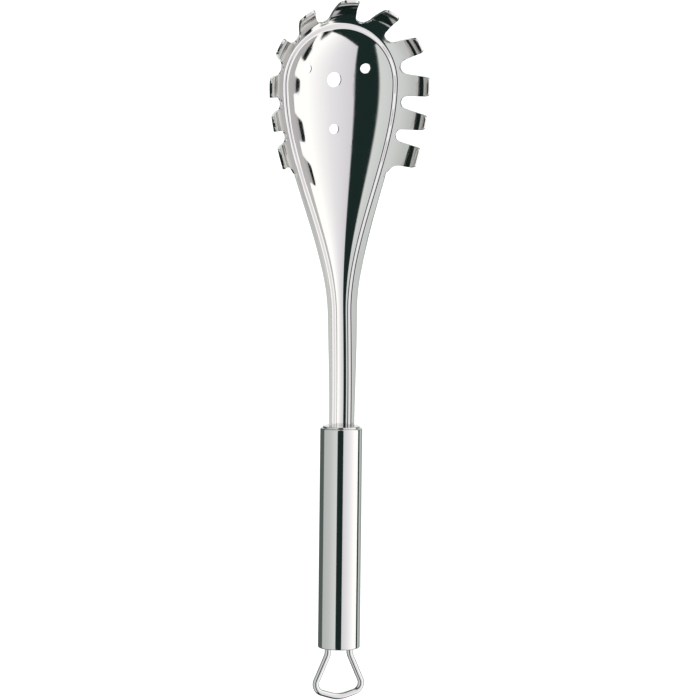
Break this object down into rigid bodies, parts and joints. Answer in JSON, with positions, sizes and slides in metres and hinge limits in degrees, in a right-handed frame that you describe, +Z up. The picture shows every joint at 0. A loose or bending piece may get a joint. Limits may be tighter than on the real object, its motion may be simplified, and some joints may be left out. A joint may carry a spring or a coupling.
{
  "type": "pasta server",
  "caption": "Steel pasta server: toothed, drained bowl on a channelled neck, round hollow handle and a wire loop that swings to hang it up",
  "frame": {"origin": "on the handle's axis, halfway up the handle tube, where the hand closes round it", "axes": "+Z up the handle's axis towards the bowl, +X across the bowl's width, +Y towards the bowl's back; the bowl opens towards -Y"},
  "size_m": [0.078, 0.026, 0.3221],
  "materials": {
    "head_steel": "polished stainless steel, pressed sheet",
    "cap_steel": "polished stainless steel, turned",
    "handle_steel": "polished stainless steel tube",
    "plug_steel": "plain turned stainless steel",
    "loop_steel": "polished stainless steel wire"
  },
  "bodies": {
    "server": {"server_head": "head_steel", "neck_cap": "cap_steel", "handle_tube": "handle_steel", "end_plug": "plug_steel"},
    "loop": {"hanging_loop": "loop_steel"}
  },
  "joints": [
    {"name": "loop_swing", "type": "hinge", "parent": "server", "child": "loop", "pos_m": [0, 0, -0.0486], "axis": [1, 0, 0], "range_deg": [-55, 55]}
  ]
}
